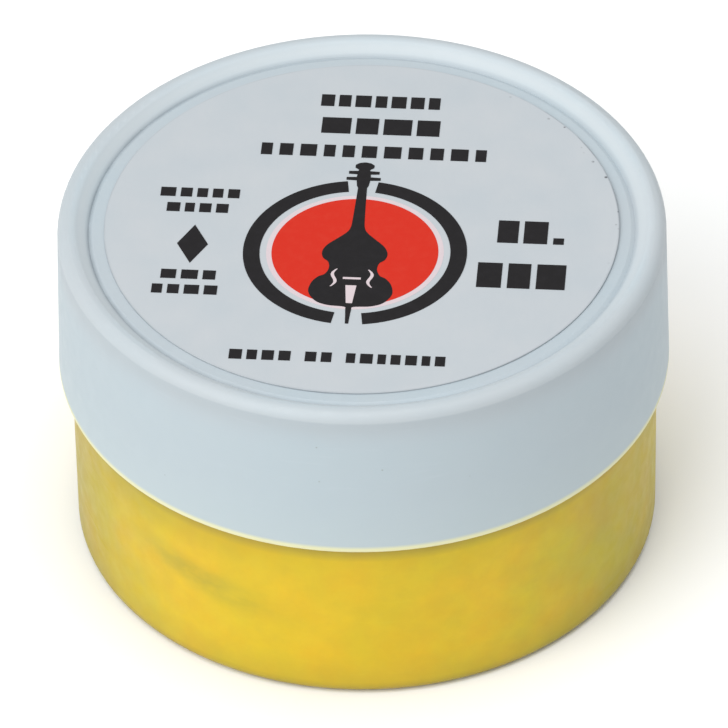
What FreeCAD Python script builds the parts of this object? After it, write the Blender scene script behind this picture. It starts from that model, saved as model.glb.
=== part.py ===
import FreeCAD, Part
import math
import os
import Sketcher

# A cake of soft double-bass rosin in its round plastic tub, as a parametric document in millimetres.
#
# The tub is a low cup with a recessed neck. A deep lid slides down over the neck, snaps past a small
# bead and stops just above the tub's shoulder. The lid's top is a shallow dish with a round paper label.
# The rosin is cast in a thin paper cup, stands in the tub and reaches above its rim, so that bow hair can
# be drawn across it once the lid is off.
#
# Frame: +Z up, origin at the centre of the tub's underside, on the plane that the foot ring stands on.
# Every piece is round about Z, so each one is an outline in the XZ plane turned about that axis.

# Driving dimensions: name, millimetres, what it is. Radii are from the Z axis and heights from the ground.
DRIVING = [
    ("total_height", 31.4, "top of the lid's rim"),
    # Tub
    ("tub_radius", 24.95, "outside of the tub's visible wall"),
    ("tub_base_rounding", 0.95, "rounding between wall and underside"),
    ("shoulder_height", 16.7, "step from the wall to the neck"),
    ("neck_radius", 24.4, "outside of the neck under the lid"),
    ("rim_height", 24.2, "top of the neck"),
    ("mouth_radius", 23.3, "inside of the neck at its rim"),
    ("well_radius", 23.0, "inside of the tub at its floor"),
    ("floor_height", 2.1, "top of the tub's floor"),
    ("well_rounding", 1.5, "rounding between floor and inner wall"),
    ("foot_seat_radius", 22.2, "inner edge of the ring that touches the ground"),
    ("foot_recess_radius", 21.8, "inner edge of that ring at the recess"),
    ("foot_recess_height", 0.8, "height of the recess inside the foot ring"),
    ("foot_rounding", 0.3, "rounding of the foot ring's inner edge"),
    ("gate_radius", 1.6, "moulding gate mark under the floor"),
    ("gate_length", 0.35, "how far the gate mark stands out"),
    ("shoulder_rounding", 0.2, "rounding of the shoulder's outer edge"),
    ("rim_rounding", 0.35, "rounding of the rim's two edges"),
    # Snap bead on the neck, and the groove for it in the lid
    ("bead_height", 21.0, "middle of the bead"),
    ("bead_radius", 24.62, "crest of the bead"),
    ("bead_half_width", 0.75, "half the bead's width at the neck"),
    ("bead_half_crest", 0.25, "half the width of its flat crest"),
    ("bead_root", 0.3, "how far the bead's section reaches into the neck"),
    ("snap_groove_radius", 24.95, "bottom of the lid's groove"),
    ("snap_groove_half_width", 1.0, "half the groove's width"),
    ("snap_groove_mouth", 24.4, "inner limit of the cut that makes the groove"),
    # Lid
    ("skirt_height", 16.8, "lower edge of the lid's skirt, a hair above the shoulder"),
    ("skirt_radius", 26.0, "outside of the skirt at its lower edge"),
    ("crown_radius", 25.6, "outside of the skirt at the top"),
    ("crown_rounding", 0.95, "rounding of the top outer edge"),
    ("skirt_edge_rounding", 0.3, "rounding of the lower outer edge"),
    ("skirt_lead_in", 0.35, "chamfer of the lower inner edge"),
    ("bore_radius", 24.8, "inside of the skirt at its lower edge"),
    ("bore_top_radius", 24.7, "inside of the skirt under the ceiling"),
    ("ceiling_height", 29.25, "underside of the lid's plate"),
    ("ceiling_rounding", 0.8, "rounding between ceiling and skirt"),
    ("dish_edge_radius", 24.3, "where the rim starts to slope into the dish"),
    ("dish_edge_rounding", 1.0, "rounding of that edge"),
    ("dish_radius", 23.1, "edge of the dish's flat floor"),
    ("dish_depth", 0.9, "how far the floor lies under the rim"),
    ("dish_groove_width", 0.45, "fine V-shaped groove round the dish's floor"),
    ("dish_groove_steep_side", 0.10, "width of its outer, steeper side"),
    ("dish_groove_depth", 0.13, "depth of that groove"),
    ("ejector_mark_radius", 1.5, "round ejector marks in the ceiling"),
    ("ejector_mark_depth", 0.12, "depth of the marks"),
    ("ejector_circle_radius", 16.5, "circle that the marks lie on"),
    ("ejector_marks", 4, "number of marks"),
    # Label
    ("label_radius", 21.7, "round paper label"),
    ("label_thickness", 0.15, "label with its glue"),
    # Cake and its paper cup
    ("paper_thickness", 0.3, "fluted paper, as thick as its flutes make it"),
    ("paper_clearance", 0.05, "gap between cake and paper"),
    ("paper_cup_foot_radius", 22.3, "outside of the paper cup at its base"),
    ("paper_cup_lip_radius", 22.75, "outside of the paper cup at its lip"),
    ("paper_cup_lip_height", 27.2, "top of the paper cup"),
    ("paper_cup_rounding", 1.3, "outer rounding at the cup's base"),
    ("cake_height", 26.9, "top of the cake"),
    ("cake_top_rounding", 0.5, "rounding of the cake's upper edge"),
]
SIZE = {name: value for name, value, note in DRIVING}
SMALL = 1e-6


def total(text):
    """The number for a sum of driving names, such as "total_height - dish_depth"."""
    result, sign = 0.0, 1
    for word in text.split():
        if word in ("+", "-"):
            sign = 1 if word == "+" else -1
        elif word != "0":
            result += sign * SIZE[word]
    return result


def formula(text):
    """The same sum as an expression that reads the spreadsheet."""
    return " ".join(word if word in ("+", "-", "0") else "sizes." + word for word in text.split())


def make_sheet(doc):
    sheet = doc.addObject("Spreadsheet::Sheet", "sizes")
    for row, (name, value, note) in enumerate(DRIVING, start=1):
        sheet.set(f"A{row}", name)
        sheet.set(f"B{row}", str(value))
        sheet.set(f"C{row}", note)
        sheet.setAlias(f"B{row}", name)
    doc.recompute()
    return sheet


def make_body(doc, label):
    body = doc.addObject("PartDesign::Body", label)
    body.Label = label
    return body


def origin_plane(body, role):
    return next(feature for feature in body.Origin.OriginFeatures if feature.Role == role)


def make_outline(body, name, corners):
    """A closed outline of straight lines in the body's XZ plane, from corners given as radius and height."""
    sketch = body.newObject("Sketcher::SketchObject", name)
    sketch.AttachmentSupport = [(origin_plane(body, "XZ_Plane"), "")]
    sketch.MapMode = "FlatFace"
    points = [FreeCAD.Vector(total(radius), total(height), 0) for radius, height in corners]
    count = len(points)
    for index, point in enumerate(points):
        sketch.addGeometry(Part.LineSegment(point, points[(index + 1) % count]), False)
    for index in range(count):
        sketch.addConstraint(Sketcher.Constraint("Coincident", index, 2, (index + 1) % count, 1))
    for index, (radius, height) in enumerate(corners):
        place_corner(sketch, index, "DistanceX", "radius", radius)
        place_corner(sketch, index, "DistanceY", "height", height)
    return sketch


def place_corner(sketch, index, kind, word, text):
    """Binds a corner's coordinate to the spreadsheet, or holds the corner on the axis where it is zero."""
    if text == "0":
        axis = -2 if kind == "DistanceX" else -1
        sketch.addConstraint(Sketcher.Constraint("PointOnObject", index, 1, axis))
        return
    number = sketch.addConstraint(Sketcher.Constraint(kind, -1, 1, index, 1, total(text)))
    sketch.renameConstraint(number, f"corner{index}_{word}")
    sketch.setExpression(f"Constraints.corner{index}_{word}", formula(text))


def make_circle(body, name, radius, height, centre="0"):
    """A circle in a plane parallel to XY at a height, with its centre on the X axis."""
    sketch = body.newObject("Sketcher::SketchObject", name)
    sketch.AttachmentSupport = [(origin_plane(body, "XY_Plane"), "")]
    sketch.MapMode = "FlatFace"
    sketch.setExpression("AttachmentOffset.Base.z", formula(height))
    middle = FreeCAD.Vector(total(centre), 0, 0)
    sketch.addGeometry(Part.Circle(middle, FreeCAD.Vector(0, 0, 1), total(radius)), False)
    sketch.addConstraint(Sketcher.Constraint("PointOnObject", 0, 3, -1))
    place_circle_centre(sketch, centre)
    number = sketch.addConstraint(Sketcher.Constraint("Radius", 0, total(radius)))
    sketch.renameConstraint(number, "circle_radius")
    sketch.setExpression("Constraints.circle_radius", formula(radius))
    return sketch


def place_circle_centre(sketch, centre):
    if centre == "0":
        sketch.addConstraint(Sketcher.Constraint("PointOnObject", 0, 3, -2))
        return
    number = sketch.addConstraint(Sketcher.Constraint("DistanceX", -1, 1, 0, 3, total(centre)))
    sketch.renameConstraint(number, "circle_centre")
    sketch.setExpression("Constraints.circle_centre", formula(centre))


def turn(doc, body, kind, name, sketch):
    """Turns an outline about Z into a solid (Revolution) or cuts it away (Groove)."""
    feature = body.newObject("PartDesign::" + kind, name)
    feature.Profile = sketch
    feature.ReferenceAxis = (sketch, ["V_Axis"])
    feature.Angle = 360
    sketch.Visibility = False
    doc.recompute()
    return feature


def ring_edges(feature, corners):
    """The names of the round edges at the given corners of an outline."""
    found = []
    for radius, height in corners:
        names = [
            f"Edge{number}"
            for number, edge in enumerate(feature.Shape.Edges, start=1)
            if isinstance(edge.Curve, Part.Circle)
            and abs(edge.Curve.Radius - total(radius)) < SMALL
            and abs(edge.Curve.Center.z - total(height)) < SMALL
        ]
        if not names:
            raise RuntimeError(f"{feature.Name} has no round edge at {radius}, {height}")
        found += names
    return found


def soften(doc, body, kind, name, corners, size):
    """Rounds (Fillet) or bevels (Chamfer) the edges at some corners of the body's present shape."""
    base = body.Tip
    feature = body.newObject("PartDesign::" + kind, name)
    feature.Base = (base, ring_edges(base, corners))
    feature.setExpression("Radius" if kind == "Fillet" else "Size", formula(size))
    doc.recompute()
    return feature


def make_tub(doc):
    """The cup: foot ring, straight wall, shoulder, neck with its snap bead."""
    body = make_body(doc, "tub")
    wall = make_outline(body, "tub_section", [
        ("0", "foot_recess_height - gate_length"),
        ("gate_radius", "foot_recess_height - gate_length"),
        ("gate_radius", "foot_recess_height"),
        ("foot_recess_radius", "foot_recess_height"),
        ("foot_seat_radius", "0"),
        ("tub_radius", "0"),
        ("tub_radius", "shoulder_height"),
        ("neck_radius", "shoulder_height"),
        ("neck_radius", "rim_height"),
        ("mouth_radius", "rim_height"),
        ("well_radius", "floor_height"),
        ("0", "floor_height"),
    ])
    turn(doc, body, "Revolution", "tub_wall", wall)
    soften(doc, body, "Fillet", "base_rounding", [("tub_radius", "0")], "tub_base_rounding")
    soften(doc, body, "Fillet", "foot_edge", [("foot_seat_radius", "0")], "foot_rounding")
    soften(doc, body, "Fillet", "floor_corner", [("well_radius", "floor_height")], "well_rounding")
    soften(doc, body, "Fillet", "shoulder_edge", [("tub_radius", "shoulder_height")], "shoulder_rounding")
    rim = [("neck_radius", "rim_height"), ("mouth_radius", "rim_height")]
    soften(doc, body, "Fillet", "rim_edges", rim, "rim_rounding")
    bead = make_outline(body, "bead_section", [
        ("neck_radius - bead_root", "bead_height - bead_half_width"),
        ("neck_radius", "bead_height - bead_half_width"),
        ("bead_radius", "bead_height - bead_half_crest"),
        ("bead_radius", "bead_height + bead_half_crest"),
        ("neck_radius", "bead_height + bead_half_width"),
        ("neck_radius - bead_root", "bead_height + bead_half_width"),
    ])
    turn(doc, body, "Revolution", "snap_bead", bead)
    return body


def make_lid(doc):
    """The deep lid: drafted skirt, rounded rim, dished top, snap groove and ejector marks inside."""
    body = make_body(doc, "lid")
    dish_floor = "total_height - dish_depth"
    shell = make_outline(body, "lid_section", [
        ("0", "ceiling_height"),
        ("bore_top_radius", "ceiling_height"),
        ("bore_radius", "skirt_height"),
        ("skirt_radius", "skirt_height"),
        ("crown_radius", "total_height"),
        ("dish_edge_radius", "total_height"),
        ("dish_radius", dish_floor),
        ("0", dish_floor),
    ])
    turn(doc, body, "Revolution", "lid_shell", shell)
    soften(doc, body, "Fillet", "crown_edge", [("crown_radius", "total_height")], "crown_rounding")
    soften(doc, body, "Fillet", "dish_edge", [("dish_edge_radius", "total_height")], "dish_edge_rounding")
    soften(doc, body, "Fillet", "skirt_edge", [("skirt_radius", "skirt_height")], "skirt_edge_rounding")
    soften(doc, body, "Chamfer", "lead_in", [("bore_radius", "skirt_height")], "skirt_lead_in")
    soften(doc, body, "Fillet", "ceiling_corner", [("bore_top_radius", "ceiling_height")], "ceiling_rounding")
    dish_line = make_outline(body, "dish_groove_section", [
        ("dish_radius - dish_groove_width", dish_floor),
        ("dish_radius - dish_groove_steep_side", dish_floor + " - dish_groove_depth"),
        ("dish_radius", dish_floor),
    ])
    turn(doc, body, "Groove", "dish_groove", dish_line)
    snap = make_outline(body, "snap_groove_section", [
        ("snap_groove_mouth", "bead_height - snap_groove_half_width"),
        ("snap_groove_radius", "bead_height - snap_groove_half_width"),
        ("snap_groove_radius", "bead_height + snap_groove_half_width"),
        ("snap_groove_mouth", "bead_height + snap_groove_half_width"),
    ])
    turn(doc, body, "Groove", "snap_groove", snap)
    add_ejector_marks(doc, body)
    return body


def add_ejector_marks(doc, body):
    """Shallow round marks that the mould's ejector pins leave in the ceiling, evenly round the axis."""
    before = body.Tip.Shape.Volume
    sizes = ("ejector_mark_radius", "ceiling_height", "ejector_circle_radius")
    circle = make_circle(body, "ejector_circle", *sizes)
    mark = body.newObject("PartDesign::Pocket", "ejector_mark")
    mark.Profile = circle
    mark.Reversed = True
    mark.setExpression("Length", "sizes.ejector_mark_depth")
    circle.Visibility = False
    doc.recompute()
    # The pattern turns about the sketch's normal through its origin, which is the lid's own axis.
    marks = body.newObject("PartDesign::PolarPattern", "ejector_mark_ring")
    marks.Originals = [mark]
    marks.Axis = (circle, ["N_Axis"])
    marks.Angle = 360
    marks.setExpression("Occurrences", "sizes.ejector_marks")
    body.Tip = marks
    doc.recompute()
    removed = before - body.Tip.Shape.Volume
    one_mark = math.pi * SIZE["ejector_mark_radius"] ** 2 * SIZE["ejector_mark_depth"]
    if not math.isclose(removed, SIZE["ejector_marks"] * one_mark, rel_tol=0.01):
        raise RuntimeError(f"the ejector marks removed {removed:.3f} mm3")


def make_label(doc):
    """The round paper label, glued to the dish's floor."""
    body = make_body(doc, "lid_label")
    disc = body.newObject("PartDesign::Pad", "label_disc")
    disc.Profile = make_circle(body, "label_circle", "label_radius", "total_height - dish_depth")
    disc.setExpression("Length", "sizes.label_thickness")
    doc.recompute()
    return body


def make_paper_cup(doc):
    """The thin paper cup that the rosin is cast in, standing on the tub's floor."""
    body = make_body(doc, "cake_wrapper")
    inner_foot = "paper_cup_foot_radius - paper_thickness"
    inner_floor = "floor_height + paper_thickness"
    section = make_outline(body, "paper_cup_section", [
        ("0", "floor_height"),
        ("paper_cup_foot_radius", "floor_height"),
        ("paper_cup_lip_radius", "paper_cup_lip_height"),
        ("paper_cup_lip_radius - paper_thickness", "paper_cup_lip_height"),
        (inner_foot, inner_floor),
        ("0", inner_floor),
    ])
    turn(doc, body, "Revolution", "paper_cup", section)
    outside = [("paper_cup_foot_radius", "floor_height")]
    inside = [(inner_foot, inner_floor)]
    soften(doc, body, "Fillet", "paper_foot_outside", outside, "paper_cup_rounding")
    soften(doc, body, "Fillet", "paper_foot_inside", inside, "paper_cup_rounding - paper_thickness")
    return body


def make_cake(doc):
    """The cake of rosin, cast to the inside of the paper cup."""
    body = make_body(doc, "rosin_cake")
    foot_radius = "paper_cup_foot_radius - paper_thickness - paper_clearance"
    top_radius = "paper_cup_lip_radius - paper_thickness - paper_clearance"
    foot_height = "floor_height + paper_thickness + paper_clearance"
    section = make_outline(body, "cake_section", [
        ("0", foot_height),
        (foot_radius, foot_height),
        (top_radius, "cake_height"),
        ("0", "cake_height"),
    ])
    turn(doc, body, "Revolution", "cake", section)
    foot = [(foot_radius, foot_height)]
    edge = [(top_radius, "cake_height")]
    soften(doc, body, "Fillet", "cake_foot", foot, "paper_cup_rounding - paper_thickness")
    soften(doc, body, "Fillet", "cake_edge", edge, "cake_top_rounding")
    return body


def check_document(doc, bodies):
    for thing in doc.Objects:
        if "Invalid" in thing.State or "Error" in thing.State:
            raise RuntimeError(f"{thing.Name} failed: {thing.State}")
    for body in bodies:
        if body.Shape.isNull() or not body.Shape.isValid() or body.Shape.Volume <= 0:
            raise RuntimeError(f"{body.Label} has no sound solid")


def main():
    doc = FreeCAD.newDocument("rosin_tub")
    make_sheet(doc)
    bodies = [make_tub(doc), make_lid(doc), make_label(doc), make_paper_cup(doc), make_cake(doc)]
    doc.recompute()
    check_document(doc, bodies)
    os.makedirs("parts", exist_ok=True)
    for body in bodies:
        body.Shape.exportStep(f"parts/{body.Label}.step")
        box = body.Shape.optimalBoundingBox()
        size = f"{box.XLength:.2f} wide, z {box.ZMin:.2f} to {box.ZMax:.2f}"
        print(f"{body.Label}: {size}, {body.Shape.Volume:.0f} mm3")


main()
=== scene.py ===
import math
import random

import bmesh
import bpy
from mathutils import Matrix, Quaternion, Vector, noise


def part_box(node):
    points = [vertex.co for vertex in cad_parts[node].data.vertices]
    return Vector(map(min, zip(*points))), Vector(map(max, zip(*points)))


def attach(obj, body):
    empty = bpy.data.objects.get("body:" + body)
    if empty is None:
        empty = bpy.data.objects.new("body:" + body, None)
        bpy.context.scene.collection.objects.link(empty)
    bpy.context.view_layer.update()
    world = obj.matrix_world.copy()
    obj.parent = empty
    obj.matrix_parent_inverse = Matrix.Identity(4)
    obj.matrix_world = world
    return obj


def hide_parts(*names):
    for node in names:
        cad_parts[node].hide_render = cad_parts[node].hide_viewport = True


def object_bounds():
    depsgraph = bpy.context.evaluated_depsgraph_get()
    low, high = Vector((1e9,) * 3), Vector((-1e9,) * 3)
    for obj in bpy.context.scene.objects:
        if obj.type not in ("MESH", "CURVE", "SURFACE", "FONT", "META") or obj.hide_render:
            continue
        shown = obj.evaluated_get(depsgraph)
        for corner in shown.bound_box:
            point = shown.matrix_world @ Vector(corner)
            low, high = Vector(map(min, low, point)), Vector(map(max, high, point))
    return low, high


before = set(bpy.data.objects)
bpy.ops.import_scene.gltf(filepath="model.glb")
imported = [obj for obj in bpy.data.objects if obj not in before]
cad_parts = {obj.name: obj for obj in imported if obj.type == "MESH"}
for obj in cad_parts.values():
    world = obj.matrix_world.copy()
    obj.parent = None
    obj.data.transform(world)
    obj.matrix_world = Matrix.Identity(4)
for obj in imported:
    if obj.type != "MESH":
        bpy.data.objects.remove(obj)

# The looks of a cake of double-bass rosin in its tub: moulded plastic, a printed paper label, and inside
# them a glassy cake of resin in a fluted paper cup. Lengths are in metres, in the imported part's frame, and
# only the print's outlines are in millimetres, on the label's own page.

MM = 0.001
cad_low, cad_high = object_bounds()
lid_low, lid_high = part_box("lid")
label_low, label_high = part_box("lid_label")
cake_low, cake_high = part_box("rosin_cake")
cup_low, cup_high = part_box("cake_wrapper")

TUB_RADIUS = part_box("tub")[1].x
LID_TOP = lid_high.z
LID_EDGE = lid_low.z
LABEL_RADIUS = label_high.y
DISH_FLOOR = label_low.z

# Round features of the lid's top, by radius.
DISH_SLOPE = 23.7 * MM
DISH_GROOVE = 22.96 * MM

SHARP_EDGE = math.radians(42)
SAME_POINT = 1e-8


# ---------------------------------------------------------------- colours and meshes

def srgb(red, green, blue):
    """A colour given as it looks on a screen, 0 to 255, as the linear values that a shader takes."""
    def linear(level):
        level /= 255
        return level / 12.92 if level <= 0.04045 else ((level + 0.055) / 1.055) ** 2.4
    return (linear(red), linear(green), linear(blue), 1.0)


def smooth_step(value, low, high):
    """0 at the low value and 1 at the high one, with a smooth rise between them."""
    share = min(max((value - low) / (high - low), 0.0), 1.0)
    return share * share * (3 - 2 * share)


def make_piece(name, mesh, look, body, slot_name, *nodes):
    """Puts a finished mesh in the scene as a piece that rides on a body, and may stand for CAD nodes."""
    piece = bpy.data.objects.new(name, mesh)
    bpy.context.scene.collection.objects.link(piece)
    mesh.materials.append(look)
    for face in mesh.polygons:
        face.use_smooth = True
    mesh.set_sharp_from_angle(angle=SHARP_EDGE)
    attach(piece, body)
    if nodes:
        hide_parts(*nodes)
    return piece


def turned_mesh(name, rows, count, place):
    """A closed surface of quads from place(row, angle). A row on the axis closes to one point."""
    shape = bmesh.new()
    grid = []
    for row in rows:
        grid.append([shape.verts.new(place(row, 2 * math.pi * step / count)) for step in range(count)])
    for lower, upper in zip(grid, grid[1:]):
        for step in range(count):
            following = (step + 1) % count
            shape.faces.new((lower[step], lower[following], upper[following], upper[step]))
    bmesh.ops.remove_doubles(shape, verts=shape.verts, dist=SAME_POINT)
    bmesh.ops.recalc_face_normals(shape, faces=shape.faces)
    mesh = bpy.data.meshes.new(name)
    shape.to_mesh(mesh)
    shape.free()
    return mesh


# ---------------------------------------------------------------- procedural materials

class Look:
    """One procedural material, with short ways to add its nodes. Sizes are given in metres on the object."""

    def __init__(self, name):
        self.material = bpy.data.materials.new(name)
        self.material.use_nodes = True
        self.tree = self.material.node_tree
        self.shader = self.tree.nodes["Principled BSDF"]
        self.place = self.node("ShaderNodeTexCoord").outputs["Object"]
        self.relief = None

    def feed(self, socket, value):
        if isinstance(value, bpy.types.NodeSocket):
            self.tree.links.new(value, socket)
        else:
            socket.default_value = value

    def node(self, kind, inputs=None, **settings):
        made = self.tree.nodes.new(kind)
        for key, value in settings.items():
            setattr(made, key, value)
        for key, value in (inputs or {}).items():
            self.feed(made.inputs[key], value)
        return made

    def math(self, operation, first, second=0.0):
        return self.node("ShaderNodeMath", {0: first, 1: second}, operation=operation).outputs[0]

    def product(self, first, *others):
        for other in others:
            first = self.math("MULTIPLY", first, other)
        return first

    def remap(self, value, low, high, to_low=0.0, to_high=1.0):
        inputs = {"Value": value, "From Min": low, "From Max": high, "To Min": to_low, "To Max": to_high}
        return self.node("ShaderNodeMapRange", inputs).outputs["Result"]

    def noise(self, size, detail=2.0, roughness=0.5, place=None):
        inputs = {"Vector": place or self.place, "Scale": 1 / size, "Detail": detail, "Roughness": roughness}
        return self.node("ShaderNodeTexNoise", inputs).outputs["Fac"]

    def specks(self, size):
        """Distance to the nearest of many scattered points, in shares of their spacing."""
        inputs = {"Vector": self.place, "Scale": 1 / size}
        return self.node("ShaderNodeTexVoronoi", inputs).outputs["Distance"]

    def stretched(self, x, y, z):
        """Coordinates that are stretched along the axes with the small factors."""
        return self.node("ShaderNodeMapping", {"Vector": self.place, "Scale": (x, y, z)}).outputs["Vector"]

    def axes(self):
        parts = self.node("ShaderNodeSeparateXYZ", {"Vector": self.place})
        return parts.outputs["X"], parts.outputs["Y"], parts.outputs["Z"]

    def radius(self):
        x, y = self.axes()[:2]
        return self.math("SQRT", self.math("ADD", self.product(x, x), self.product(y, y)))

    def bearing(self):
        """The angle round the axis in radians, 0 at the front and growing towards the right."""
        x, y = self.axes()[:2]
        return self.math("ARCTAN2", x, self.math("MULTIPLY", y, -1.0))

    def round_wall(self, along, upward, shift=0.0):
        """Coordinates round the axis and up the wall, scaled so that marks stretch along one of them."""
        around = self.math("MULTIPLY", self.bearing(), TUB_RADIUS * along)
        height = self.math("MULTIPLY", self.axes()[2], upward)
        return self.node("ShaderNodeCombineXYZ", {"X": around, "Y": height, "Z": shift}).outputs["Vector"]

    def arc(self, middle, spread):
        """1 at a bearing in degrees, falling smoothly to 0 as far from it as the spread."""
        return self.bell(self.bearing(), math.radians(middle), math.radians(spread))

    def bell(self, value, centre, width):
        """1 at the centre, falling smoothly to 0 at the width."""
        away = self.math("ABSOLUTE", self.math("SUBTRACT", value, centre))
        share = self.node(
            "ShaderNodeMapRange",
            {"Value": away, "From Min": 0.0, "From Max": width, "To Min": 1.0, "To Max": 0.0},
            interpolation_type="SMOOTHSTEP",
        )
        return share.outputs["Result"]

    def tint(self, colour, shade, *shares):
        """Mixes some of a shade over a colour: the shares are multiplied."""
        return self.mix(self.product(*shares), colour, shade)

    def mix(self, share, first, second):
        made = self.tree.nodes.new("ShaderNodeMix")
        made.data_type = "RGBA"
        self.feed(made.inputs[0], share)
        self.feed(made.inputs[6], first)
        self.feed(made.inputs[7], second)
        return made.outputs[2]

    def emboss(self, height, depth, strength=1.0):
        """Adds a bump of the given depth in metres on top of the bumps so far."""
        inputs = {"Height": height, "Distance": depth, "Strength": strength}
        if self.relief:
            inputs["Normal"] = self.relief
        self.relief = self.node("ShaderNodeBump", inputs).outputs["Normal"]

    def finish(self, colour, roughness, **fixed):
        """Connects the shader. Fixed values go on its own sockets, named with underscores for spaces."""
        self.feed(self.shader.inputs["Base Color"], colour)
        self.feed(self.shader.inputs["Roughness"], roughness)
        if self.relief:
            self.feed(self.shader.inputs["Normal"], self.relief)
        for key, value in fixed.items():
            self.shader.inputs[key.replace("_", " ")].default_value = value
        return self.material


def lid_look():
    """White polypropylene, slightly cool, with moulded orange peel and fine scuffs.

    It is painted darker on the outer rim of the crown and lighter on the rim's inner slope and down the
    skirt, as painted shade and painted light. The groove has painted shade, patchy and strongest at the
    left, the dish floor round the label has painted shade, and the thin lower edge has a painted cream
    highlight.
    """
    look = Look("lid_polypropylene")
    radius = look.radius()
    height = look.axes()[2]
    cloud = look.remap(look.noise(11 * MM, 3), 0.36, 0.64)
    fine_cloud = look.remap(look.noise(2.6 * MM, 2), 0.3, 0.7)
    cool = look.mix(fine_cloud, srgb(181, 194, 201), srgb(185, 197, 203))
    colour = look.mix(cloud, cool, srgb(186, 194, 199))

    # Painted light: the rim's inner slope is made lighter than the rest of the lid.
    slope = look.bell(radius, DISH_SLOPE, 0.75 * MM)
    colour = look.tint(colour, srgb(194, 202, 206), slope, 0.8)
    # Painted shade: the outer rim of the crown is made darker near the top.
    painted_rim_shade = look.remap(radius, DISH_SLOPE + 0.5 * MM, DISH_SLOPE + 1.1 * MM)
    near_top = look.remap(height, LID_TOP - 3.0 * MM, LID_TOP - 1.2 * MM)
    colour = look.tint(colour, srgb(177, 184, 188), painted_rim_shade, near_top, 0.7)
    # Painted light: the skirt below the crown is made lighter and bluer than the crown.
    painted_skirt_light = look.remap(height, LID_TOP - 1.5 * MM, LID_TOP - 4.0 * MM)
    colour = look.tint(colour, srgb(187, 202, 208), painted_skirt_light, 0.70)
    # Painted light: the skirt is made lighter towards its lower edge, where light comes up from the floor.
    painted_low_skirt_light = look.remap(height, LID_EDGE + 6.0 * MM, LID_EDGE + 1.0 * MM)
    colour = look.tint(colour, srgb(194, 209, 211), painted_low_skirt_light, 0.50)

    # Painted shade: all below the dish floor's level and outside the label is made darker, in the dish round
    # the label and also on the skirt.
    in_dish = look.remap(height, LID_TOP - 0.70 * MM, LID_TOP - 0.85 * MM)
    beside_label = look.remap(radius, LABEL_RADIUS - 0.2 * MM, LABEL_RADIUS)
    colour = look.tint(colour, srgb(160, 171, 178), in_dish, beside_label, 0.45)
    # Painted shade in the groove at the foot of the rim's slope, patchy and strongest at the left.
    groove = look.bell(radius, DISH_GROOVE, 0.32 * MM)
    patchy = look.remap(look.noise(3 * MM, 3), 0.3, 0.6, 0.35, 0.9)
    left_side = look.remap(look.arc(-85, 105), 0.0, 1.0, 0.04, 0.50)
    colour = look.tint(colour, srgb(115, 127, 134), groove, in_dish, patchy, left_side)

    # Painted highlight: the lid's thin lower edge is made pale cream.
    edge_highlight = look.remap(height, LID_EDGE + 0.42 * MM, LID_EDGE + 0.75 * MM, 1.0, 0.0)
    colour = look.tint(colour, srgb(222, 219, 172), edge_highlight, 0.90)

    scuffs = look.noise(0.9 * MM, 4, 0.62, look.round_wall(0.12, 1.6))
    scuffed = look.remap(scuffs, 0.60, 0.72)
    flecks = look.remap(look.specks(1.7 * MM), 0.035, 0.06, 1.0, 0.0)
    rare = look.remap(look.noise(4 * MM, 1), 0.60, 0.64)
    colour = look.tint(colour, srgb(126, 129, 124), flecks, rare, 0.5)
    colour = look.tint(colour, srgb(204, 213, 217), scuffed, 0.10)

    roughness = look.remap(look.noise(1.4 * MM, 3), 0.3, 0.7, 0.44, 0.56)
    roughness = look.math("ADD", roughness, look.product(scuffed, 0.10))
    look.emboss(look.noise(6 * MM, 1), 0.06 * MM, 0.5)
    look.emboss(look.noise(0.35 * MM, 2), 0.004 * MM, 0.6)
    look.emboss(scuffs, 0.006 * MM, 0.5)
    return look.finish(
        colour,
        roughness,
        IOR=1.45,
        Subsurface_Weight=0.12,
        Subsurface_Radius=(1.0, 0.95, 0.9),
        Subsurface_Scale=0.8 * MM,
    )


# Slow drifts of the tub's tint round its wall, partly real tint and partly painted shade, for the darker
# and greener ones at the sides and the right: bearing and spread in degrees, shade, amount.
TUB_TINTS_AND_SHADE = (
    (-24, 52, srgb(220, 182, 9), 0.50),
    (12, 50, srgb(217, 176, 9), 0.35),
    (66, 44, srgb(153, 141, 20), 0.52),
    (98, 26, srgb(158, 140, 26), 0.32),
    (-84, 46, srgb(158, 140, 18), 0.80),
    (150, 40, srgb(217, 176, 9), 0.40),
    (-140, 36, srgb(166, 153, 24), 0.35),
)


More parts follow.
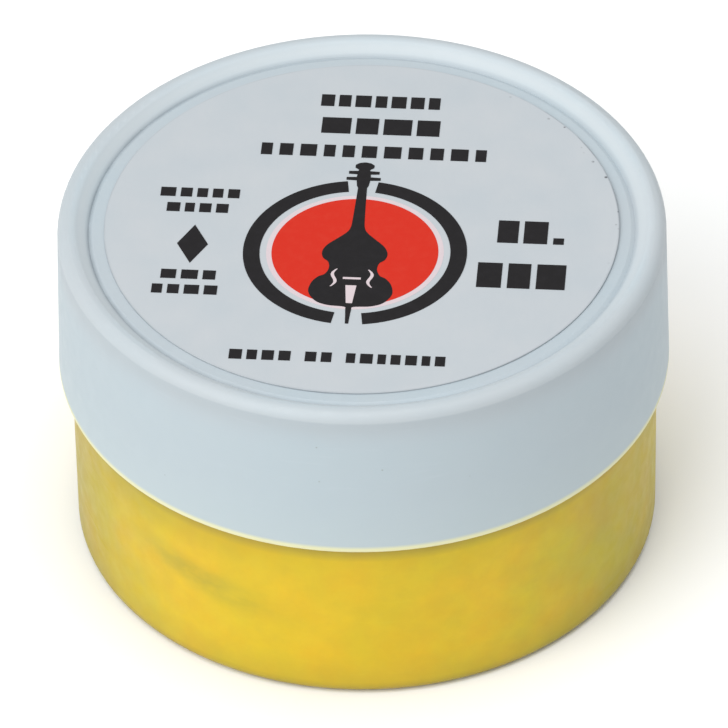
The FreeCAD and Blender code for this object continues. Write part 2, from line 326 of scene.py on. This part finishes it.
def tub_look():
    """Yellow polypropylene that lets a little light in.

    Its tint is patchy and drifts round the wall, and the darker drifts at the sides and the right are
    painted shade. An oblique darker streak and a darker band high on the wall lie on the left, a faint
    darker band on the right, and the wall has a painted shadow just under the lid and painted shade
    towards the foot.
    """
    look = Look("tub_polypropylene")
    height = look.axes()[2]
    broad = look.remap(look.noise(6 * MM, 2), 0.36, 0.64)
    patch = look.remap(look.noise(2.4 * MM, 3, 0.55), 0.32, 0.68)
    green_side = look.mix(patch, srgb(191, 174, 17), srgb(203, 187, 20))
    orange_side = look.mix(patch, srgb(207, 168, 13), srgb(216, 183, 19))
    colour = look.mix(broad, green_side, orange_side)
    outer_wall = look.remap(look.radius(), TUB_RADIUS - 2.0 * MM, TUB_RADIUS - 0.4 * MM)
    # Partly painted shade: the darker drifts at the sides and the right stand for shade.
    for middle, spread, shade, amount in TUB_TINTS_AND_SHADE:
        colour = look.tint(colour, shade, look.arc(middle, spread), amount, outer_wall)
    fine = look.remap(look.noise(0.9 * MM, 3, 0.6), 0.35, 0.65)
    colour = look.tint(colour, srgb(184, 164, 28), fine, 0.10)

    breakup = look.remap(look.noise(1.6 * MM, 3, 0.6, look.round_wall(0.5, 1.0)), 0.30, 0.62, 0.35, 1.0)
    falling = look.remap(look.bearing(), -0.92, -0.33, 11.2 * MM, 8.3 * MM)
    streak = look.bell(height, falling, 2.2 * MM)
    colour = look.tint(colour, srgb(146, 138, 38), look.arc(-35, 24), streak, breakup, 0.56)
    # A darker band high on the wall at the left.
    upper_left_band = look.bell(height, 15.0 * MM, 3.6 * MM)
    colour = look.tint(colour, srgb(160, 146, 26), look.arc(-48, 44), upper_left_band, outer_wall, 0.42)
    # A faint, narrow darker band on the right of the wall.
    right_band = look.bell(height, 11.5 * MM, 5.0 * MM)
    colour = look.tint(colour, srgb(136, 131, 38), look.arc(52, 9), right_band, 0.22)

    # Painted shadow: a darker band on the wall just under the lid's edge.
    lid_shadow = look.remap(height, LID_EDGE - 1.9 * MM, LID_EDGE - 0.9 * MM)
    not_on_neck = look.remap(height, LID_EDGE + 0.3 * MM, LID_EDGE - 0.1 * MM)
    colour = look.tint(colour, srgb(118, 108, 60), lid_shadow, not_on_neck, outer_wall, 0.46)
    # Painted shade: the wall is made darker and greener towards the foot, most of all at its lower edge.
    foot = look.remap(height, 4.2 * MM, 0.3 * MM)
    colour = look.tint(colour, srgb(132, 130, 56), foot, 0.30)
    foot_edge_shade = look.remap(height, 1.3 * MM, 0.5 * MM)
    colour = look.tint(colour, srgb(112, 106, 44), foot_edge_shade, outer_wall, 0.35)

    rub = look.noise(0.7 * MM, 4, 0.6, look.round_wall(0.10, 1.4, 3.0))
    rubbed = look.remap(rub, 0.60, 0.70)
    colour = look.tint(colour, srgb(218, 206, 76), rubbed, 0.06)
    roughness = look.remap(look.noise(1.5 * MM, 3), 0.3, 0.7, 0.34, 0.48)
    roughness = look.math("ADD", roughness, look.product(rubbed, 0.12))
    look.emboss(look.noise(5 * MM, 1), 0.06 * MM, 0.5)
    look.emboss(look.noise(0.35 * MM, 2), 0.004 * MM, 0.6)
    look.emboss(rub, 0.006 * MM, 0.5)
    return look.finish(
        colour,
        roughness,
        IOR=1.42,
        Subsurface_Weight=0.20,
        Subsurface_Radius=(1.0, 0.7, 0.15),
        Subsurface_Scale=0.8 * MM,
    )


def paper_look():
    """Coated label paper: faint fibres, a greyer cut edge and a few dark specks along it at the right.

    The grey of the edge is partly painted shade, strongest at the right where the paper lifts.
    """
    look = Look("label_paper_coated")
    cloud = look.remap(look.noise(5 * MM, 3), 0.32, 0.68)
    colour = look.mix(cloud, srgb(177, 184, 189), srgb(182, 187, 191))
    fibres = look.noise(0.5 * MM, 4, 0.65, look.stretched(1.0, 0.35, 1.0))
    colour = look.tint(colour, srgb(171, 178, 185), look.remap(fibres, 0.35, 0.65), 0.10)

    radius = look.radius()
    edge = look.remap(radius, LABEL_RADIUS - 0.16 * MM, LABEL_RADIUS - 0.04 * MM)
    uneven = look.remap(look.noise(2.5 * MM, 3), 0.35, 0.65, 0.35, 1.0)
    # Partly painted shade: the edge is made greyer at the right, where the paper lifts off the dish.
    right_side = look.arc(112, 48)
    greyer = look.remap(right_side, 0.0, 1.0, 0.25, 0.85)
    colour = look.tint(colour, srgb(115, 123, 130), edge, uneven, greyer)

    flecks = look.remap(look.specks(0.8 * MM), 0.12, 0.20, 1.0, 0.0)
    near_edge = look.bell(radius, LABEL_RADIUS - 0.15 * MM, 0.7 * MM)
    colour = look.tint(colour, srgb(53, 54, 58), flecks, near_edge, right_side, 0.85)

    roughness = look.remap(look.noise(1.2 * MM, 3), 0.3, 0.7, 0.48, 0.62)
    look.emboss(fibres, 0.008 * MM, 0.6)
    look.emboss(look.noise(4 * MM, 2), 0.03 * MM, 0.5)
    return look.finish(colour, roughness, IOR=1.45)


def ink_look(name, colour, worn_colour):
    """Printing ink: slightly mottled, with pinholes where the paper shows a little."""
    look = Look(name)
    mottle = look.remap(look.noise(0.9 * MM, 4, 0.6), 0.45, 0.80)
    pinholes = look.remap(look.specks(0.45 * MM), 0.04, 0.08, 1.0, 0.0)
    worn = look.math("MAXIMUM", look.product(mottle, 0.25), look.product(pinholes, 0.30))
    tint = look.mix(worn, colour, worn_colour)
    roughness = look.remap(look.noise(0.6 * MM, 3), 0.3, 0.7, 0.36, 0.55)
    look.emboss(look.noise(0.3 * MM, 3), 0.004 * MM, 0.5)
    return look.finish(tint, roughness, IOR=1.36)


def cup_look():
    """Waxed baking paper: cream at the lip, blotched with resin that has soaked in below it."""
    look = Look("cup_paper_waxed")
    wander = look.remap(look.noise(3 * MM, 3), 0.2, 0.8, -2.4 * MM, 2.4 * MM)
    soak = look.math("ADD", look.axes()[2], wander)
    dry = look.remap(soak, cup_high.z - 4.5 * MM, cup_high.z + 0.5 * MM)
    runs = look.noise(3.2 * MM, 3, 0.5, look.round_wall(1.0, 0.55))
    pools = look.noise(4 * MM, 4, 0.55)
    wall = look.remap(look.radius(), 20.6 * MM, 21.8 * MM)
    blotches = look.math("ADD", pools, look.product(wall, look.math("SUBTRACT", runs, pools)))
    stain = look.mix(look.remap(blotches, 0.34, 0.66), srgb(184, 142, 86), srgb(204, 168, 112))
    colour = look.mix(dry, stain, srgb(222, 207, 168))
    fibres = look.noise(0.35 * MM, 3, 0.6)
    colour = look.mix(look.remap(fibres, 0.42, 0.70, 0.0, 0.16), colour, srgb(232, 216, 178))
    spots = look.remap(look.specks(2.6 * MM), 0.10, 0.20, 1.0, 0.0)
    colour = look.tint(colour, srgb(158, 106, 48), spots, 0.25)
    roughness = look.remap(look.noise(1.1 * MM, 3), 0.3, 0.7, 0.32, 0.50)
    look.emboss(fibres, 0.006 * MM, 0.5)
    return look.finish(colour, roughness, IOR=1.45, Subsurface_Weight=0.25, Subsurface_Scale=0.5 * MM)


def rosin_look():
    """Dark amber resin: glassy, with drifting colour, fine bubbles, and pale dust along the bow's track."""
    look = Look("rosin_resin")
    drift = look.remap(look.noise(7 * MM, 3), 0.3, 0.7)
    amber = look.mix(drift, srgb(136, 62, 10), srgb(184, 98, 18))
    bubbles = look.remap(look.specks(1.3 * MM), 0.06, 0.10, 1.0, 0.0)
    some = look.remap(look.noise(3.5 * MM, 1), 0.52, 0.60)
    amber = look.tint(amber, srgb(222, 158, 66), bubbles, some, 0.45)

    x, y, z = look.axes()
    turned_y = look.product(y, math.cos(TRACK_TURN))
    across = look.math("SUBTRACT", turned_y, look.product(x, math.sin(TRACK_TURN)))
    on_top = look.remap(z, cake_high.z - 1.2 * MM, cake_high.z - 0.6 * MM)
    track = look.product(look.bell(across, 0.0, TRACK_HALF_WIDTH * 1.35), on_top)
    scratches = look.noise(0.20 * MM, 3, 0.6, along_track(look))
    bands = look.remap(look.noise(1.0 * MM, 4, 0.60, along_track(look)), 0.30, 0.70)
    powder = look.remap(look.noise(0.5 * MM, 3, 0.6), 0.30, 0.70, 0.80, 1.0)
    cover = look.math("ADD", look.product(bands, 0.26), look.remap(scratches, 0.30, 0.70, 0.46, 0.74))
    dust = look.product(track, cover, powder)
    colour = look.tint(amber, srgb(240, 232, 214), dust, 0.86)
    roughness = look.math("ADD", 0.06, look.product(dust, 0.62))
    look.emboss(look.noise(4 * MM, 2), 0.03 * MM, 0.5)
    look.emboss(look.product(scratches, track), 0.02 * MM, 0.8)
    return look.finish(
        colour,
        roughness,
        IOR=1.54,
        Subsurface_Weight=0.70,
        Subsurface_Radius=(1.0, 0.35, 0.08),
        Subsurface_Scale=2.5 * MM,
    )


def floor_look():
    """The pale studio floor: matt, with a very faint mottle."""
    look = Look("studio_floor")
    mottle = look.remap(look.noise(30 * MM, 3), 0.3, 0.7)
    colour = look.mix(mottle, srgb(249, 250, 250), srgb(252, 252, 252))
    roughness = look.remap(look.noise(10 * MM, 2), 0.3, 0.7, 0.75, 0.85)
    look.emboss(look.noise(0.4 * MM, 2), 0.01 * MM, 0.4)
    return look.finish(colour, roughness, IOR=1.3)


# ---------------------------------------------------------------- the paper label and its print

# How the paper lies in the dish, and how the ink lies on it. A layer of ink is cut up in steps, down to
# short edges, so that it follows the paper.
LABEL_YAW = math.radians(-5.0)
LIFT_BEARING = math.radians(10)
LIFT_SPREAD = math.radians(48)
LABEL_LIFT = 0.11 * MM
LABEL_COCKLE = 0.010 * MM
PAPER = 0.13 * MM
INK_STEP = 0.014 * MM
INK_SINK = 0.02 * MM
INK_EDGES = (4 * MM, 2 * MM, 1.2 * MM)
INK_WELD = 1e-7


def label_rise(x, y):
    """How far the paper stands off the dish: it cockles a little, and its right-hand edge has let go."""
    radius = math.hypot(x, y)
    angle = abs(math.atan2(y, x) - LIFT_BEARING)
    lift = smooth_step(radius / LABEL_RADIUS, 0.86, 1.0) * smooth_step(angle, LIFT_SPREAD, 0.0)
    cockle = noise.noise(Vector((x, y, 0.0)) / (9 * MM)) + 1.0
    return LABEL_LIFT * lift + LABEL_COCKLE * cockle


def paper_disc():
    """The label as a thin closed disc with softened edges."""
    shrink = 0.03 * MM
    ring_count = 48
    rings = [LABEL_RADIUS * ring / ring_count for ring in range(ring_count + 1)]
    rows = [(radius, 0.0) for radius in rings[:-1]]
    rows += [(LABEL_RADIUS - shrink, 0.0), (LABEL_RADIUS, shrink), (LABEL_RADIUS, PAPER - shrink)]
    rows += [(LABEL_RADIUS - shrink, PAPER)]
    rows += [(radius, PAPER) for radius in reversed(rings[:-1])]

    def place(row, angle):
        radius, height = row
        x, y = radius * math.cos(angle), radius * math.sin(angle)
        return Vector((x, y, DISH_FLOOR + label_rise(x, y) + height))

    return turned_mesh("label_paper", rows, 240, place)


def on_label(x, y):
    """A point given in millimetres on the label's own page, turned as the label is stuck on."""
    return Quaternion((0, 0, 1), LABEL_YAW).to_matrix() @ Vector((x * MM, y * MM, 0.0))


def print_mesh(name, outlines, thickness):
    """A thin closed layer of ink on the paper, from outlines on the label's page, in millimetres."""
    shape = bmesh.new()
    for outline in outlines:
        shape.faces.new([shape.verts.new(on_label(x, y)) for x, y in outline])
    bmesh.ops.remove_doubles(shape, verts=shape.verts, dist=INK_WELD)
    bmesh.ops.triangulate(shape, faces=shape.faces)
    for longest in INK_EDGES:
        long_edges = [edge for edge in shape.edges if edge.calc_length() > longest]
        bmesh.ops.subdivide_edges(shape, edges=long_edges, cuts=1, use_grid_fill=False)
        bmesh.ops.triangulate(shape, faces=[face for face in shape.faces if len(face.verts) > 3])
    raised = bmesh.ops.extrude_face_region(shape, geom=list(shape.faces))["geom"]
    upper = {vertex for vertex in raised if isinstance(vertex, bmesh.types.BMVert)}
    for vertex in shape.verts:
        surface = DISH_FLOOR + PAPER + label_rise(vertex.co.x, vertex.co.y)
        vertex.co.z = surface + (thickness if vertex in upper else -INK_SINK)
    bmesh.ops.recalc_face_normals(shape, faces=shape.faces)
    mesh = bpy.data.meshes.new(name)
    shape.to_mesh(mesh)
    shape.free()
    return mesh


def block(left, right, low, high):
    """A small upright block."""
    return [(left, low), (right, low), (right, high), (left, high)]


def word(left, right, y, height, count, gap, draws):
    """A row of blocks, of uneven width, that stands where a printed word would be. It spells nothing."""
    shares = [draws.uniform(0.75, 1.25) for _ in range(count)]
    scale = (right - left - gap * (count - 1)) / sum(shares)
    blocks = []
    for share in shares:
        blocks.append(block(left, left + share * scale, y - height / 2, y + height / 2))
        left += share * scale + gap
    return blocks


EMBLEM_X, EMBLEM_Y = -0.3, -3.6
RED_RADIUS = 7.0
KEYLINE_RADIUS = 7.45
RING_INNER, RING_OUTER = 8.0, 9.4
RING_HALF_SPAN = math.radians(82)

# A double bass from its endpin up to its scroll: height on the page and half its width there.
BASS_BODY = (
    (-12.9, 0.14), (-11.2, 0.24), (-10.75, 0.40), (-10.60, 1.80), (-10.1, 2.85), (-9.0, 3.50), (-7.8, 3.35),
    (-7.0, 2.85), (-6.6, 2.30), (-5.8, 2.02), (-5.0, 2.15), (-4.5, 2.60), (-3.7, 2.75), (-2.8, 2.40),
    (-1.9, 1.60), (-1.1, 0.90), (-0.4, 0.60), (1.0, 0.50), (4.9, 0.38),
)
BASS_HEAD = (
    (5.20, 0.50), (5.90, 0.58), (5.95, 1.45), (6.28, 1.45), (6.33, 0.60), (6.72, 0.56), (6.77, 1.30),
    (7.10, 1.30), (7.15, 0.50), (7.35, 0.48), (7.60, 0.80), (7.95, 0.80), (8.20, 0.50), (8.30, 0.12),
)
BRIDGE_HALF_WIDTH = 0.75
BRIDGE_LOW, BRIDGE_HIGH = -7.20, -6.95
TAILPIECE = ((-0.26, -10.3), (0.26, -10.3), (0.46, -8.0), (-0.46, -8.0))
HOLE_X, HOLE_Y = 1.52, -7.05
HOLE_HALF_HEIGHT = 1.15
HOLE_HALF_WIDTH = 0.15
HOLE_LEAN = 0.20
HOLE_CURL = 0.24

# Rows of blocks that stand for words: left, right, middle, height, number of blocks, gap between them.
WORDS = (
    (-4.7, 5.5, 16.6, 1.55, 7, 0.38),
    (-4.4, 5.7, 13.2, 2.10, 4, 0.45),
    (-9.3, 9.9, 9.75, 1.55, 11, 0.62),
    (-17.3, -10.6, 3.5, 1.15, 5, 0.42),
    (-16.6, -11.4, 1.5, 1.15, 4, 0.42),
    (-16.3, -11.7, -7.3, 1.15, 3, 0.42),
    (-16.9, -11.4, -9.25, 1.15, 4, 0.42),
    (11.5, 15.7, -0.2, 2.9, 2, 0.45),
    (10.1, 17.5, -5.95, 3.2, 3, 0.50),
    (-9.7, -4.6, -17.3, 1.2, 4, 0.40),
    (-3.4, -1.2, -17.3, 1.2, 2, 0.40),
    (0.0, 8.2, -17.3, 1.2, 7, 0.40),
)
WORD_SEED = 7
SMALL_BLOCK = (16.2, 17.1, -1.65, -0.85)
LOZENGE = ((-14.0, -5.8), (-12.7, -3.3), (-14.0, -0.8), (-15.3, -3.3))


def round_emblem(radius, turns):
    """Points of a circle round the emblem's middle, at some angles."""
    return [(EMBLEM_X + radius * math.cos(turn), EMBLEM_Y + radius * math.sin(turn)) for turn in turns]


def disc_outline(radius, steps=120):
    """A whole circle round the emblem's middle."""
    return round_emblem(radius, [2 * math.pi * step / steps for step in range(steps)])


def ribbon(one_side, other_side):
    """The blocks between two rows of points."""
    pairs = zip(zip(one_side, one_side[1:]), zip(other_side, other_side[1:]))
    return [[*near, *reversed(far)] for near, far in pairs]


def half_ring(facing, steps=60):
    """One side of the emblem's ring, which is open at the top and the bottom where the bass stands in it."""
    turns = [facing + RING_HALF_SPAN * (2 * step / steps - 1) for step in range(steps + 1)]
    return ribbon(round_emblem(RING_OUTER, turns), round_emblem(RING_INNER, turns))


def rounded(points, steps=5):
    """A smooth curve through a row of points."""
    ends = [points[0], *points, points[-1]]
    curve = []
    for before, start, stop, after in zip(ends, ends[1:], ends[2:], ends[3:]):
        for step in range(steps):
            share = step / steps
            pull = [(stop[axis] - before[axis], after[axis] - start[axis]) for axis in (0, 1)]
            curve.append(tuple(
                start[axis] * (2 * share ** 3 - 3 * share ** 2 + 1)
                + stop[axis] * (3 * share ** 2 - 2 * share ** 3)
                + 0.5 * pull[axis][0] * (share ** 3 - 2 * share ** 2 + share)
                + 0.5 * pull[axis][1] * (share ** 3 - share ** 2)
                for axis in (0, 1)
            ))
    return [*curve, points[-1]]


def bass_outline():
    """The silhouette of the double bass, the same on both sides."""
    profile = [*rounded(BASS_BODY), *BASS_HEAD]
    right = [(EMBLEM_X + half_width, height) for height, half_width in profile]
    left = [(EMBLEM_X - half_width, height) for height, half_width in reversed(profile)]
    return right + left


def sound_hole(side, steps=14):
    """One of the two sound holes, a slender S that is pointed at both ends."""
    near, far = [], []
    for step in range(steps + 1):
        share = 2 * step / steps - 1
        curl = HOLE_CURL * math.sin(math.pi * share)
        x = EMBLEM_X + side * (HOLE_X - HOLE_LEAN * share + curl)
        y = HOLE_Y + HOLE_HALF_HEIGHT * share
        half_width = HOLE_HALF_WIDTH * (1 - 0.6 * share * share)
        near.append((x - half_width, y))
        far.append((x + half_width, y))
    return ribbon(near, far)


def bass_trim():
    """The pale parts of the bass: its bridge, its tailpiece and its sound holes."""
    bridge = block(EMBLEM_X - BRIDGE_HALF_WIDTH, EMBLEM_X + BRIDGE_HALF_WIDTH, BRIDGE_LOW, BRIDGE_HIGH)
    tailpiece = [(EMBLEM_X + x, y) for x, y in TAILPIECE]
    return [bridge, tailpiece] + sound_hole(-1) + sound_hole(1)


def black_print():
    """Everything printed in black: blocks in place of words, a lozenge, and the ringed double bass."""
    draws = random.Random(WORD_SEED)
    outlines = []
    for row in WORDS:
        outlines += word(*row, draws)
    outlines += [block(*SMALL_BLOCK), LOZENGE]
    outlines += half_ring(0.0) + half_ring(math.pi)
    return [*outlines, bass_outline()]


def make_label():
    make_piece("lid_label_paper", paper_disc(), paper_look(), "lid", "label_paper", "lid_label")
    red = ink_look("ink_red", srgb(198, 34, 8), srgb(202, 62, 42))
    black = ink_look("ink_black", srgb(14, 11, 14), srgb(38, 36, 40))
    pale = ink_look("ink_keyline", srgb(204, 190, 194), srgb(194, 174, 180))
    layers = [
        ("lid_label_keyline", [disc_outline(KEYLINE_RADIUS)], pale),
        ("lid_label_disc", [disc_outline(RED_RADIUS)], red),
        ("lid_label_print", black_print(), black),
        ("lid_label_bass_trim", bass_trim(), pale),
    ]
    for level, (name, outlines, look) in enumerate(layers, start=1):
        make_piece(name, print_mesh(name, outlines, level * INK_STEP), look, "lid", "label_paper")


# ---------------------------------------------------------------- the cake and its fluted paper cup

FLUTES = 72
FLUTE_SAMPLES = 10
FLUTE_DEPTH = 0.20 * MM
CUP_PAPER = 0.09 * MM
CUP_FOOT_RADIUS = 22.15 * MM
CUP_LIP_INSET = 0.17 * MM
CUP_LIP_DROP = 0.16 * MM
CUP_LIP_RAGGED = 0.13 * MM
CUP_CORNER = 1.15 * MM
CAKE_CORNER = 1.05 * MM
CAKE_GAP = 0.05 * MM
TRACK_HALF_WIDTH = 6.5 * MM
TRACK_TURN = math.radians(24)
TRACK_WEAR = 0.32 * MM


def along_track(look):
    """Coordinates in which noise is drawn out along the bow's track."""
    inputs = {"Vector": look.place, "Rotation": (0, 0, TRACK_TURN)}
    turned = look.node("ShaderNodeMapping", inputs, vector_type="TEXTURE").outputs["Vector"]
    stretch = {"Vector": turned, "Scale": (0.06, 1.0, 1.0)}
    return look.node("ShaderNodeMapping", stretch).outputs["Vector"]


def flute(angle):
    """The wave of the pleats round the cup, from -1 to 1, uneven as pressed paper is."""
    around = Vector((math.cos(angle), math.sin(angle), 0.0))
    wander = 0.35 * noise.noise(around * 3.1)
    size = 0.85 + 0.3 * noise.noise(around * 5.3 + Vector((0, 0, 7)))
    wave = math.asin(0.93 * math.sin(FLUTES * angle + wander * 2 * math.pi)) / math.asin(0.93)
    return wave * min(size, 1.0)


def cup_wall(height):
    """The middle radius of the cup's wall at a height, and of the pleats there."""
    lip_radius = cup_high.y - CUP_LIP_INSET
    share = (height - cup_low.z) / (cup_high.z - cup_low.z)
    return CUP_FOOT_RADIUS + (lip_radius - CUP_FOOT_RADIUS) * share


def cup_mesh():
    """The pleated cup as one closed skin: up the outside, over the lip and down the inside.

    A station of its section is a radius, a height, the outward and upward parts of the direction in which
    the paper is thick, and the share of the pleats' depth there.
    """
    floor = cup_low.z + CUP_PAPER / 2 + 0.02 * MM
    path = []
    for share in (0.0, 0.3, 0.6, 0.75, 0.85, 0.93):
        path.append((cup_wall(floor) * share, floor, 0.0, -1.0, smooth_step(share, 0.7, 1.0) * 0.25))
    corner_radius = cup_wall(floor) - CUP_CORNER
    wall_start = floor + CUP_CORNER
    corner_steps = 8
    for step in range(1, corner_steps + 1):
        turn = math.radians(90 * step / corner_steps)
        out, down = math.sin(turn), math.cos(turn)
        radius = corner_radius + CUP_CORNER * out
        path.append((radius, wall_start - CUP_CORNER * down, out, -down, 0.3 + 0.7 * step / corner_steps))
    lip = cup_high.z - CUP_LIP_DROP
    wall_steps = 14
    for step in range(1, wall_steps + 1):
        height = wall_start + (lip - wall_start) * step / wall_steps
        path.append((cup_wall(height), height, 1.0, 0.0, 1.0))
    rows = [(*station, 0.5) for station in path] + [(*station, -0.5) for station in reversed(path)]

    def place(row, angle):
        radius, height, out, up, pleat, side = row
        if height > lip - 0.5 * MM:
            height += CUP_LIP_RAGGED * noise.noise(Vector((math.cos(angle), math.sin(angle), 0)) * 6.0)
        height += up * (side * CUP_PAPER)
        if not out:
            height += abs(up) * pleat * FLUTE_DEPTH * (1 + flute(angle))
        radius += out * (pleat * FLUTE_DEPTH * flute(angle) + side * CUP_PAPER)
        radius = max(radius, 0.0)
        return Vector((radius * math.cos(angle), radius * math.sin(angle), height))

    return turned_mesh("cup_paper", rows, FLUTES * FLUTE_SAMPLES, place)


def cake_top(x, y, edge_radius):
    """Height of the cake's face: it creeps up the paper, sinks in the middle and is worn along the track."""
    radius = math.hypot(x, y)
    full = cake_high.z - 0.12 * MM
    creep = 0.22 * MM * math.exp(-(edge_radius - radius) / (0.7 * MM))
    sink = 0.10 * MM * (1 - (radius / edge_radius) ** 2)
    across = y * math.cos(TRACK_TURN) - x * math.sin(TRACK_TURN)
    worn = smooth_step(abs(across), TRACK_HALF_WIDTH, TRACK_HALF_WIDTH * 0.45)
    ripple = 0.012 * MM * noise.noise(Vector((x, y, 0)) / (3.5 * MM))
    hair_lines = 0.014 * MM * noise.noise(Vector((0.0, across, x * 0.02)) / (0.5 * MM))
    return full + creep - sink + ripple + worn * (hair_lines - TRACK_WEAR)


def cake_mesh():
    """The cast cake: its side carries the pleats of the cup, and its face is the poured surface.

    A row is its kind, a radius, a height that only the side uses, and the share of the pleats' depth.
    """
    floor = cake_low.z
    inset = CUP_PAPER / 2 + CAKE_GAP
    rows = []
    for share in (0.0, 0.4, 0.7, 0.88):
        rows.append(("side", (cup_wall(floor) - CAKE_CORNER) * share, floor, 0.0))
    corner_steps = 6
    for step in range(corner_steps + 1):
        turn = math.radians(90 * step / corner_steps)
        radius = cup_wall(floor) - inset - CAKE_CORNER * (1 - math.sin(turn))
        rows.append(("side", radius, floor + CAKE_CORNER * (1 - math.cos(turn)), step / corner_steps))
    side_start, side_top = floor + CAKE_CORNER, cake_high.z - 0.7 * MM
    side_steps = 12
    for step in range(1, side_steps + 1):
        height = side_start + (side_top - side_start) * step / side_steps
        rows.append(("side", cup_wall(height) - inset, height, 1.0))
    edge_radius = cup_wall(cake_high.z) - inset
    for share in (1.0, 0.998, 0.993, 0.985, 0.975, 0.96, 0.94, 0.92):
        rows.append(("top", edge_radius * share, 0.0, smooth_step(share, 0.94, 1.0)))
    last_ring = 45
    for ring in range(last_ring, -1, -1):
        rows.append(("top", edge_radius * 0.90 * ring / last_ring, 0.0, 0.0))

    def place(row, angle):
        kind, radius, height, pleat = row
        radius += pleat * FLUTE_DEPTH * flute(angle)
        x, y = radius * math.cos(angle), radius * math.sin(angle)
        if kind == "top":
            height = cake_top(x, y, edge_radius + FLUTE_DEPTH)
        return Vector((x, y, height))

    return turned_mesh("cake", rows, FLUTES * FLUTE_SAMPLES, place)


def make_cake():
    make_piece("rosin_cake_cast", cake_mesh(), rosin_look(), "cake", "rosin", "rosin_cake")
    make_piece("cake_wrapper_pleated", cup_mesh(), cup_look(), "cake", "cup_paper", "cake_wrapper")


# ---------------------------------------------------------------- moulded parts, floor, light and camera

def dress_moulded_parts():
    for name, look in (("lid", lid_look()), ("tub", tub_look())):
        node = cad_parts[name]
        for slot in node.material_slots:
            slot.material = look


FLOOR_HALF_WIDTH = 3.0
FLOOR_GAP = 0.02 * MM
TUB_MIDDLE = Vector((0, 0, 15 * MM))
LIGHT_DISTANCE = 0.9
SKY_STRENGTH = 0.53


def make_floor():
    shape = bmesh.new()
    bmesh.ops.create_grid(shape, x_segments=8, y_segments=8, size=FLOOR_HALF_WIDTH)
    mesh = bpy.data.meshes.new("floor")
    shape.to_mesh(mesh)
    shape.free()
    floor = bpy.data.objects.new("floor", mesh)
    floor.location.z = cad_low.z - FLOOR_GAP
    bpy.context.scene.collection.objects.link(floor)
    mesh.materials.append(floor_look())


def area_light(name, bearing, elevation, width, power, colour):
    """A round soft light that looks at the tub. Bearing 0 is the front and grows towards the right."""
    turn, lift = math.radians(bearing), math.radians(elevation)
    flat = math.cos(lift)
    toward = Vector((math.sin(turn) * flat, -math.cos(turn) * flat, math.sin(lift)))
    light = bpy.data.lights.new(name, "AREA")
    light.shape = "DISK"
    light.size = width
    light.energy = power
    light.color = colour
    lamp = bpy.data.objects.new(name, light)
    lamp.location = toward * LIGHT_DISTANCE + TUB_MIDDLE
    lamp.rotation_mode = "QUATERNION"
    lamp.rotation_quaternion = toward.to_track_quat("Z", "Y")
    lamp.visible_camera = False
    bpy.context.scene.collection.objects.link(lamp)


def light_studio():
    area_light("key", bearing=-45, elevation=42, width=0.85, power=4.85, colour=(1.0, 0.995, 0.985))
    area_light("overhead", bearing=0, elevation=86, width=0.75, power=4.0, colour=(0.985, 0.995, 1.0))
    world = bpy.data.worlds.new("studio")
    world.use_nodes = True
    sky = world.node_tree.nodes["Background"]
    sky.inputs["Color"].default_value = (0.99, 0.995, 1.0, 1.0)
    sky.inputs["Strength"].default_value = SKY_STRENGTH
    bpy.context.scene.world = world


CAMERA_ELEVATION = math.radians(40.46)
CAMERA_ROLL = math.radians(-1.08)
CAMERA_DISTANCE = 0.683
CAMERA_AIM = Vector((-0.03 * MM, 0, 15.27 * MM))


def place_camera():
    """A long lens from the front, well above the rim, rolled very slightly."""
    back = Vector((0, -math.cos(CAMERA_ELEVATION), math.sin(CAMERA_ELEVATION)))
    lens = bpy.data.cameras.new("camera")
    lens.sensor_width = 36
    lens.lens = 395.6
    lens.clip_start = 0.05
    lens.clip_end = 20
    camera = bpy.data.objects.new("camera", lens)
    camera.location = CAMERA_AIM + back * CAMERA_DISTANCE
    camera.rotation_mode = "QUATERNION"
    camera.rotation_quaternion = (-back).to_track_quat("-Z", "Y") @ Quaternion((0, 0, 1), CAMERA_ROLL)
    bpy.context.scene.collection.objects.link(camera)
    bpy.context.scene.camera = camera


bpy.context.scene.view_settings.view_transform = "Standard"
dress_moulded_parts()
make_label()
make_cake()
make_floor()
light_studio()
place_camera()
